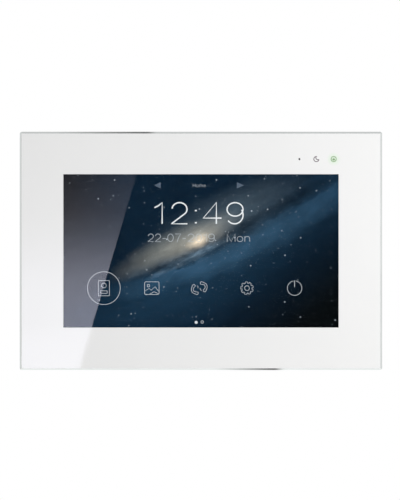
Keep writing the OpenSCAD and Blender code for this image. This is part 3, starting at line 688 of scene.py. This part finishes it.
clock_lines = line_of((("1", -26.1, -21.8), ("2", -16.5, -7.6), ("4", 1.3, 11.5), ("9", 14.6, 23.6)),
    15.2, 11.9)
colon = [[(-2.9, 15.4), (-2.9, 16.2)], [(-2.9, 22.2), (-2.9, 23.0)]]
clock = join([strokes("figures", clock_lines, 0.84), strokes("colon", colon, 1.1)], "clock_figures")
date_lines = line_of((("22", -29.7, -22.6), ("-", -21.6, -19.7), ("07", -18.7, -11.4),
    ("-", -10.4, -8.5), ("2019", -7.3, 7.5), ("Mon", 14.7, 27.3)), 5.2, 4.3)
date = strokes("date_line", date_lines, 0.48)
title = strokes("page_title", written("Home", -4.5, 2.6, 35.8, 1.9, 0.3), 0.25)
arrows = blot("page_arrows", [[(-26.2, 36.8), (-22.6, 35.0), (-22.6, 38.6)],
    [(24.1, 36.8), (20.1, 38.6), (20.1, 35.0)]])
for piece, look in ((clock, "screen_white"), (date, "screen_soft"), (title, "screen_soft"),
                    (arrows, "screen_dim")):
    paint_over(piece, look)
    hang(piece, "monitor", "display")

# %% [markdown]
# The icons are built from a few outlines: a round-cornered box, a gear wheel and a telephone receiver.
# Each is drawn round the middle of its own icon and moved to its place afterwards.

# %% Outlines for the icons
def rounded(x, z, w, h, r):
    """Outline of a round-cornered rectangle centred on (x, z)."""
    corners = ((1, 1, 0), (-1, 1, 90), (-1, -1, 180), (1, -1, 270))
    points = []
    for sx, sz, start in corners:
        points += arc(x + sx * (w / 2 - r), z + sz * (h / 2 - r), r, r, start, start + 90, 4)
    return points + points[:1]


def gear(r, teeth=9, tall=0.75):
    points = []
    for i in range(teeth):
        for share, reach in ((0.08, 0), (0.2, tall), (0.62, tall), (0.74, 0), (0.91, 0)):
            a = math.tau * (i + share) / teeth
            points.append(((r - tall + reach) * math.cos(a), (r - tall + reach) * math.sin(a)))
    return points + points[:1]


def handset(x, z, turn, size=0.75):
    """A small telephone receiver, seen from the side and turned by an angle in degrees."""
    outline = (arc(0, 0, 3.3, 3.3, 150, 30, 10) + arc(2.9, 0.3, 1.1, 1.1, 60, -120, 6)
        + arc(0, -0.1, 1.9, 1.9, 10, 170, 10) + arc(-2.9, 0.3, 1.1, 1.1, -60, -240, 6))
    c, w = math.cos(math.radians(turn)), math.sin(math.radians(turn))
    points = [(x + size * (px * c - pz * w), z + size * (px * w + pz * c)) for px, pz in outline]
    return points + points[:1]


def moved(lines, x, z):
    return [[(x + px, z + pz) for px, pz in line] for line in lines]


print("gear with", len(gear(3.6)) - 1, "points")

# %% [markdown]
# The icons stand in one row: a door station with a ring round it, a picture, two handsets, a gear and a
# power sign. Two dots under them show which page is open.

# %% Icons
ICON_Z = -20.9
door_station = [arc(0, 0, 9.2, 9.2, 0, 360, 64), rounded(0, 0, 6.2, 8.5, 0.3),
    arc(0, 1.5, 1.35, 1.35, 0, 360), rounded(0, -2.2, 3.7, 1.4, 0.2)]
picture = [rounded(0, 0, 8.1, 7.1, 0.75), arc(-1.9, 1.4, 0.75, 0.75, 0, 360, 12),
    [(-3.8, -1.5), (-1.5, -0.2), (-0.3, -1.2), (1.8, 0.8), (3.8, -1.7)],
    [(-1.1, -3.3), (1.3, -2.0), (3.7, -3.1)]]
handsets = [handset(-2.0, -0.7, 112), handset(2.0, 0.7, -68),
    [(-1.3, 1.4), (-0.5, 0.8), (-0.8, 0.1)], [(1.3, -1.4), (0.5, -0.8), (0.8, -0.1)]]
settings = [gear(3.6), arc(0, 0, 1.35, 1.35, 0, 360)]
power_sign = [arc(0, 0, 4.05, 4.05, 99, 441, 48), [(0, 4.3), (0, 0.6)]]
icon_lines = []
for x, icon in ((-54.5, door_station), (-27.6, picture), (-1.0, handsets), (25.8, settings),
                (52.5, power_sign)):
    icon_lines += moved(icon, x, ICON_Z)
icon_lines.append(arc(0.7, -39.9, 0.72, 0.72, 0, 360, 14))
icons = strokes("menu_icons", icon_lines, 0.25)
dot = blot("page_dot", [arc(-2.7, -40.1, 0.85, 0.85, 0, 360, 20)])
icons = join([icons, dot], "menu_icons")
paint_over(icons, "screen_icon")
hang(icons, "monitor", "display")

# %% [markdown]
# ## Marks above the display
# Three marks sit on one line above the window: the microphone's hole, a crescent moon for the quiet mode
# and a padlock in a ring for the lock. The real ones are thin ink, lit from behind, so each is a skin of
# colour on the glass. The moon is a line round its outline, and the ring and the padlock are filled.

# %% Moon and ring
MARK_Y, MARK_THICK = glass_low.y - 0.004 * MM, 0.006
MOON_X = 0.0646
crescent = arc(0, 0, 1.42, 1.42, 75, 345, 26) + arc(0.92, 0.83, 1.2, 1.2, 295, 150, 16)
moon = strokes("moon_mark", moved([crescent + crescent[:1]], MOON_X / MM, MARK_Z / MM), 0.46, MARK_Y,
    MARK_THICK)
finish("moon_ink", rgb(86, 66, 80), 0.12, grain=0.1, depth=0.001)
paint_over(moon, "moon_ink")
hang(moon, "monitor", "white_print")
ring_band = [arc(0, 0, 1.62, 1.62, 0, 360, 40), arc(0, 0, 1.22, 1.22, 0, 360, 32)]
shackle = arc(0, 0.18, 0.5, 0.5, 0, 180, 10) + arc(0, 0.18, 0.27, 0.27, 180, 0, 8)
padlock = [rounded(0, -0.3, 1.35, 0.85, 0.15), shackle]
ring = blot("ring_mark", moved(ring_band + padlock, RING_X / MM, MARK_Z / MM), MARK_Y, MARK_THICK)
finish("ring_ink", rgb(116, 156, 98), 0.12, grain=0.1, depth=0.001, Emission_Color=rgb(120, 220, 90),
    Emission_Strength=0.04)
paint_over(ring, "ring_ink")
hang(ring, "monitor", "white_print")

# %% [markdown]
# ## Metals
# The wall bracket is pressed from zinc-plated sheet. Zinc grows in flat crystals, so its shine changes
# from patch to patch. Rolled steel has long fine lines, and stamped cans are smooth and a little dented.

# %% Metal finishes
def spangle(t, base):
    cells = t.add("TexVoronoi", {"Vector": t.place(), "Scale": 900.0}, out="Color")
    shade = t.math("MULTIPLY_ADD", t.apart(cells)[0], 0.07, 0.93)
    return t.mix(1.0, base, t.grey(shade), "MULTIPLY")


LONG_X = (30, 1, 1)
finish("zinc_steel", rgb(206, 209, 212), 0.36, grain=0.25, depth=0.004, metal=1.0, spread=0.16,
    paint=spangle)
finish("module_steel", rgb(200, 200, 198), 0.3, grain=0.2, depth=0.003, metal=1.0, stretch=LONG_X)
finish("screw_steel", rgb(188, 189, 192), 0.28, grain=0.08, depth=0.002, metal=1.0)
finish("tinned_steel", rgb(214, 214, 210), 0.26, grain=0.5, depth=0.006, metal=1.0, stretch=LONG_X)
finish("can_aluminium", rgb(216, 218, 221), 0.24, grain=0.3, depth=0.002, metal=1.0)
finish("cell_steel", rgb(208, 208, 204), 0.2, grain=0.1, depth=0.001, metal=1.0, stretch=LONG_X)
finish("pin_gold", rgb(232, 192, 112), 0.24, grain=0.05, depth=0.001, metal=1.0)
finish("magnet_steel", rgb(120, 122, 126), 0.42, grain=0.2, depth=0.004, metal=1.0)
print(len(finishes), "finishes")

# %% [markdown]
# ## Plastics, rubber, paper and film
# Connectors are nylon with a slight sheen, chips are dull epoxy with tiny sparkles, foam is full of pores
# and the speaker's cone is pressed paper fibre.

# %% Inner finishes
def pores(t):
    return t.add("TexVoronoi", {"Vector": t.place(), "Scale": 3200.0})


def fibres(t):
    return t.add("TexNoise", {"Vector": t.place(scale=(1, 1, 4)), "Scale": 1500.0, "Detail": 4.0})


def sparkle(t, base):
    specks = t.add("TexVoronoi", {"Vector": t.place(), "Scale": 2600.0}, out="Color")
    rare = t.math("GREATER_THAN", t.apart(specks)[1], 0.93)
    return t.mix(t.math("MULTIPLY", rare, 0.25), base, rgb(120, 120, 122))


def phosphor(t, base):
    patch = t.add("TexNoise", {"Vector": t.place(), "Scale": 900.0, "Detail": 1.0})
    return t.mix(patch, base, rgb(250, 236, 150))


for name, colour, rough, grain, depth in (
        ("cream_nylon", rgb(232, 227, 208), 0.38, 0.3, 0.006),
        ("grey_nylon", rgb(176, 180, 184), 0.38, 0.3, 0.006),
        ("red_nylon", rgb(188, 36, 30), 0.36, 0.3, 0.006),
        ("button_orange", rgb(222, 96, 34), 0.4, 0.2, 0.004),
        ("white_film", rgb(240, 240, 240), 0.5, 0.1, 0.002),
        ("red_lead", rgb(176, 28, 26), 0.42, 0.2, 0.004),
        ("grey_lead", rgb(88, 90, 94), 0.42, 0.2, 0.004),
        ("blue_lead", rgb(42, 82, 150), 0.42, 0.2, 0.004)):
    finish(name, colour, rough, grain=grain, depth=depth)
finish("chip_black", rgb(34, 34, 36), 0.55, grain=0.12, depth=0.006, paint=sparkle)
finish("ferrite", rgb(52, 52, 54), 0.62, grain=0.1, depth=0.008, paint=sparkle)
finish("black_foam", rgb(26, 26, 28), 0.9, grain=0.2, depth=0.01, relief=pores, relief_depth=0.05)
finish("black_rubber", rgb(24, 24, 26), 0.7, grain=0.2, depth=0.008, relief=pores, relief_depth=0.01)
finish("cone_paper", rgb(58, 57, 56), 0.8, grain=0.2, depth=0.01, relief=fibres, relief_depth=0.03)
finish("lamp_strip", rgb(238, 234, 214), 0.4, grain=0.2, depth=0.004, paint=phosphor)
finish("lamp_yellow", rgb(236, 214, 110), 0.3, grain=0.1, depth=0.002, paint=phosphor)
print(len(finishes), "finishes")

# %% [markdown]
# ## Circuit board, ribbons, card and label
# A board is green lacquer over copper tracks, with small tinned holes. A ribbon is amber film with
# parallel tracks. The card has eight contact pads, and the label is silver film with an empty frame.

# %% Painted finishes
def tracks(t, base):
    turned = t.place(turn=(math.pi / 2, 0, 0))
    wires = t.add("TexBrick", {"Vector": turned, "Scale": 260.0, "Mortar Size": 0.06, "Bias": 0.0},
        out="Fac")
    cells = t.add("TexVoronoi", {"Vector": t.place(scale=(1, 0.02, 1)), "Scale": 300.0})
    hole = t.math("LESS_THAN", cells, 0.12)
    copper = t.mix(t.math("MULTIPLY", wires, 0.6), base, rgb(46, 128, 74))
    return t.mix(hole, copper, rgb(200, 198, 186))


def ribbon_lines(t, base):
    lines = t.add("TexWave", {"Vector": t.place(), "Scale": 320.0}, out="Fac")
    return t.mix(t.math("GREATER_THAN", lines, 0.5), base, rgb(150, 84, 26))


card_low, card_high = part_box("memory_card")
card_mid = (card_low + card_high) / 2


def pads(t, base):
    """Gold stripes 1.1 mm apart, near the card's inner end, on its back only."""
    x, y, z = t.apart(t.place((card_low.x, card_high.y, card_mid.z)))
    stripe = t.math("LESS_THAN", t.math("PINGPONG", z, 0.55 * MM), 0.38 * MM)
    inner = t.math("COMPARE", x, 2.6 * MM, 1.5 * MM)
    back = t.math("GREATER_THAN", y, -0.02 * MM)
    return t.mix(t.math("MULTIPLY", stripe, t.math("MULTIPLY", inner, back)), base, rgb(224, 186, 104))


label_low, label_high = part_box("rating_label")
label_mid, label_half = (label_low + label_high) / 2, (label_high - label_low) / 2


def empty_frame(t, base):
    """A thin line round the label, and ruled lines inside it with nothing written on them."""
    x, _, z = t.apart(t.place(label_mid))
    out_x = t.math("SUBTRACT", label_half.x, t.math("ABSOLUTE", x))
    out_z = t.math("SUBTRACT", label_half.z, t.math("ABSOLUTE", z))
    line = t.math("COMPARE", t.math("MINIMUM", out_x, out_z), 1.6 * MM, 0.13 * MM)
    rule = t.math("MULTIPLY", t.math("LESS_THAN", t.math("PINGPONG", z, 3.0 * MM), 0.1 * MM),
        t.math("GREATER_THAN", t.math("MINIMUM", out_x, out_z), 3.0 * MM))
    return t.mix(t.math("MAXIMUM", line, rule), base, rgb(92, 96, 102))


finish("circuit_board", rgb(24, 84, 50), 0.3, grain=0.3, depth=0.003, paint=tracks)
finish("amber_film", rgb(196, 124, 44), 0.28, grain=0.3, depth=0.002, paint=ribbon_lines)
finish("card_black", rgb(28, 28, 30), 0.42, grain=0.15, depth=0.004, paint=pads)
finish("label_film", rgb(222, 224, 226), 0.32, grain=0.4, depth=0.002, metal=0.35, paint=empty_frame)
print(len(finishes), "finishes")

# %% [markdown]
# Every measured part names its own finish in the record, so one loop paints them all. The parts that get a
# better made piece further on are painted too, and hidden then.

# %% Paint the measured parts
for part in frame["record"]["subparts"]:
    paint_over(frame["nodes"][part["node"]], part["material_slot"])

# %% [markdown]
# ## Softened edges
# No moulding or pressing has a knife edge. A measured part is copied, its loose triangles are joined up,
# and a small bevel is run along its sharp edges. The copy then stands for the part.

# %% Soften the case, the bracket and the sockets
SHARP = math.radians(40)


def softened(node, width):
    obj = bpy.data.objects.new(node + "_soft", frame["nodes"][node].data.copy())
    scene.collection.objects.link(obj)
    pick(obj, "FACE", lambda f: True)
    bpy.ops.mesh.remove_doubles(threshold=1e-6)
    bpy.ops.mesh.dissolve_limited(angle_limit=math.radians(1), delimit=set())
    done()
    modify(obj, "BEVEL", width=width * MM, segments=2, limit_method="ANGLE", angle_limit=SHARP,
        miter_outer="MITER_ARC")
    return obj


for node, body, slot, width in (
        ("rear_cover", "monitor", "white_case", 0.2), ("front_frame", "monitor", "white_case", 0.2),
        ("wall_bracket", "bracket", "zinc_steel", 0.12), ("door_sockets", "monitor", "cream_nylon", 0.12),
        ("camera_sockets", "monitor", "grey_nylon", 0.12), ("power_socket", "monitor", "red_nylon", 0.12),
        ("socket_pins", "monitor", "pin_gold", 0.08), ("memory_card", "card", "card_black", 0.08),
        ("rating_label", "monitor", "label_film", 0.04), ("reset_button", "button", "button_orange", 0.1)):
    hang(softened(node, width), body, slot, node)

# %% [markdown]
# ## Case screws
# Four pan-head screws with a cross recess hold the back on. One is made: a disc with a rounded rim, a
# cross cut into it by two small bars, and a short shank. The other three are copies.

# %% One screw, copied three times
screw_low, screw_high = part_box("case_screws")
HEAD_R, HEAD_H, HEAD_ROUND, SHANK_R = 2.5 * MM, 1.2 * MM, 0.5 * MM, 1.25 * MM
CROSS_LONG, CROSS_WIDE, CROSS_DEEP = 2.6 * MM, 0.6 * MM, 0.75 * MM
post = Vector((screw_high.x - HEAD_R, 0, screw_high.z - HEAD_R))
head = rod("screw_head", HEAD_R, screw_high.y, screw_high.y - HEAD_H, 0, 0, 40)
pick(head, "EDGE", lambda e: all(v.co.y > screw_high.y - 0.01 * MM for v in e.verts)
    and middle(e).xz.length > HEAD_R * 0.9)
bpy.ops.mesh.bevel(offset=HEAD_ROUND, segments=4)
done()
for wide, high in ((CROSS_LONG, CROSS_WIDE), (CROSS_WIDE, CROSS_LONG)):
    cut(head, block("bar", (-wide / 2, screw_high.y - CROSS_DEEP, -high / 2),
        (wide / 2, screw_high.y + MM, high / 2)))
shank = rod("screw_shank", SHANK_R, screw_high.y - HEAD_H, screw_low.y, 0, 0, 24)
pick(shank, "FACE", lambda f: f.normal.y < -0.9)
bpy.ops.mesh.inset(thickness=0.4 * MM)
bpy.ops.transform.resize(value=(0.9, 1, 0.9))
done()
first = join([head, shank], "case_screw")
paint_over(first, "screw_steel")
for i, (sx, sz) in enumerate(((1, 1), (-1, 1), (-1, -1), (1, -1))):
    last = i == 3
    screw = first if last else first.copy()
    if not last:
        screw.data = first.data.copy()
        scene.collection.objects.link(screw)
    screw.location = (sx * post.x, 0, sz * post.z)
    settle(screw, "case_screw_" + str(i + 1))
    hang(screw, "monitor", "screw_steel", "case_screws")

# %% [markdown]
# ## The room
# The room is evenly white, with one soft lamp in front on the right and two behind for the back of the
# case. The front lamp stays out of reflections, or the polished edges would flash. The floor is small and
# low, and see-through from below.

# %% World, lamps and floor
ROOM_LIGHT = 0.72  # the room lights a little less than the pure white that it shows
world = bpy.data.worlds.new("white_room")
scene.world = world
world.use_nodes = True
world.node_tree.nodes.clear()
w = Wiring(world.node_tree)
seen_white = w.add("LightPath", out="Is Camera Ray")
w.add("OutputWorld", {"Surface": w.add("Background", {"Color": (1, 1, 1, 1),
    "Strength": w.math("MULTIPLY_ADD", seen_white, 1.0 - ROOM_LIGHT, ROOM_LIGHT)})})


def lamp(location, aim_x, power, size):
    """A square soft lamp that shines at a point of the object's middle line."""
    bpy.ops.object.select_all(action="DESELECT")
    bpy.ops.object.light_add(type="AREA", location=location)
    made = bpy.context.object
    made.data.energy, made.data.size = power, size
    made.rotation_euler = (Vector((aim_x, 0, 0)) - made.location).to_track_quat("-Z", "Y").to_euler()
    made.visible_camera = False
    return made


lamp((0.45, -0.45, 0.12), 0.09, 1.7, 0.3).visible_glossy = False
for x, power in ((-0.9, 3.4), (0.9, 1.8)):
    lamp((x, 1.1, 0.4), 0.0, power, 0.8)
FLOOR_Z = -0.3
bpy.ops.object.select_all(action="DESELECT")
bpy.ops.mesh.primitive_plane_add(size=2.4, location=(0, 0, FLOOR_Z))
floor = settle(bpy.context.object, "floor")
finish("floor_paint", rgb(232, 232, 230), 0.6, grain=4.0, depth=0.02, shade=0.985)
f = Wiring(finishes["floor_paint"].node_tree)
output = next(n for n in f.tree.nodes if n.type == "OUTPUT_MATERIAL")
both = f.add("MixShader", {0: f.add("NewGeometry", out="Backfacing"),
    1: output.inputs[0].links[0].from_socket, 2: f.add("BsdfTransparent")})
f.tree.links.new(both, output.inputs[0])
paint_over(floor, "floor_paint")

# %% [markdown]
# A polished panel seen straight on mirrors what is round the camera, so a dark card stands there, with a
# bright window on its left side: it makes the slanting sheen across the glass. Two more cards, above and
# below, give the bevel its dark lines. The cards show in reflections only. Their light is painted by
# nodes on their own coordinates.

# %% A card and its light
WHITE = (1.0, 1.0, 1.0, 1.0)
cards = []


def card_light(name, lightness, colour):
    finishes[name], t = blank(name)
    shine = t.add("Emission", {"Color": colour, "Strength": lightness(t)})
    t.add("OutputMaterial", {"Surface": shine})


def card(name, size, location, turn, lightness, colour=WHITE):
    bpy.ops.object.select_all(action="DESELECT")
    bpy.ops.mesh.primitive_plane_add(size=1, location=location, rotation=(turn, 0, 0))
    bpy.context.object.scale = (size[0], size[1], 1)
    obj = settle(bpy.context.object, name)
    card_light(name + "_light", lightness, colour)
    paint_over(obj, name + "_light")
    obj.visible_camera = obj.visible_diffuse = obj.visible_shadow = False
    cards.append(name)


# %% [markdown]
# The window's bright part ends in a slanted line, and its light falls from the bottom to the top as the
# profile says. The card stands further off than the glass, so what is drawn on it is spread in the same
# measure. A line on the glass is then laid out in the glass's own metres.

# %% The bright window
CARD_Y = -0.9
eye_to_glass = VIEW_DISTANCE + glass_low.y
SPREAD = (eye_to_glass + abs(CARD_Y - glass_low.y)) / eye_to_glass
SLANT, MEETS_X, SOFT = 0.2935, -0.0481, 0.0006  # slope of the line, its x at z = 0, and its softness
BOTTOM, TOP = -0.067, 0.067
BRIGHTEST = 5.0
PROFILE = ((0.0, 4.6), (0.12, 4.2), (0.2, 3.4), (0.3, 3.35), (0.39, 2.95), (0.48, 2.05), (0.57, 1.2),
    (0.66, 0.7), (0.75, 0.46), (0.82, 0.3), (1.0, 0.1))  # share of the height, and light there


def window_sheen(t):
    x, _, z = t.apart(t.place(scale=(1 / SPREAD, 1, 1 / SPREAD)))
    edge = t.math("MULTIPLY_ADD", z, SLANT, MEETS_X)
    left = t.add("MapRange", {0: t.math("SUBTRACT", edge, x), 1: 0.0, 2: SOFT})
    fall = t.add("ValToRGB", {0: t.add("MapRange", {0: z, 1: BOTTOM, 2: TOP})}, out=None)
    points = fall.color_ramp.elements
    for i, (place, power) in enumerate(PROFILE):
        point = points[i] if i < 2 else points.new(place)
        point.position, point.color = place, (power / BRIGHTEST,) * 3 + (1.0,)
    return t.math("MULTIPLY", t.math("MULTIPLY", left, fall.outputs[0]), BRIGHTEST)


card("window_card", (0.42, 0.32), (0, CARD_Y, 0), math.pi / 2, window_sheen, rgb(238, 237, 255))
print("spread", round(SPREAD, 3))

# %% [markdown]
# The strips above and below are pale with one dark stretch. The bevel mirrors it as a thin dark line that
# starts softly and ends sharply.

# %% The two strips
def strip(places, pale):
    """Light that fades to dark between the first two places along x and comes back between the others."""
    def lightness(t):
        x = t.apart(t.place())[0]
        enter = t.add("MapRange", {0: x, 1: places[0], 2: places[1], 3: pale, 4: 0.0})
        leave = t.add("MapRange", {0: x, 1: places[2], 2: places[3], 3: 0.0, 4: pale})
        return t.math("ADD", enter, leave)
    return lightness


for name, place, places, pale in (
        ("upper_card", (0, -0.30, 0.45), (-0.125, -0.048, -0.044, -0.038), 0.57),
        ("lower_card", (0, -0.20, FLOOR_Z + 0.01), (0.010, 0.052, 0.055, 0.060), 1.02)):
    card(name, (0.5, 0.3), place, 0, strip(places, pale))
print("cards", cards)
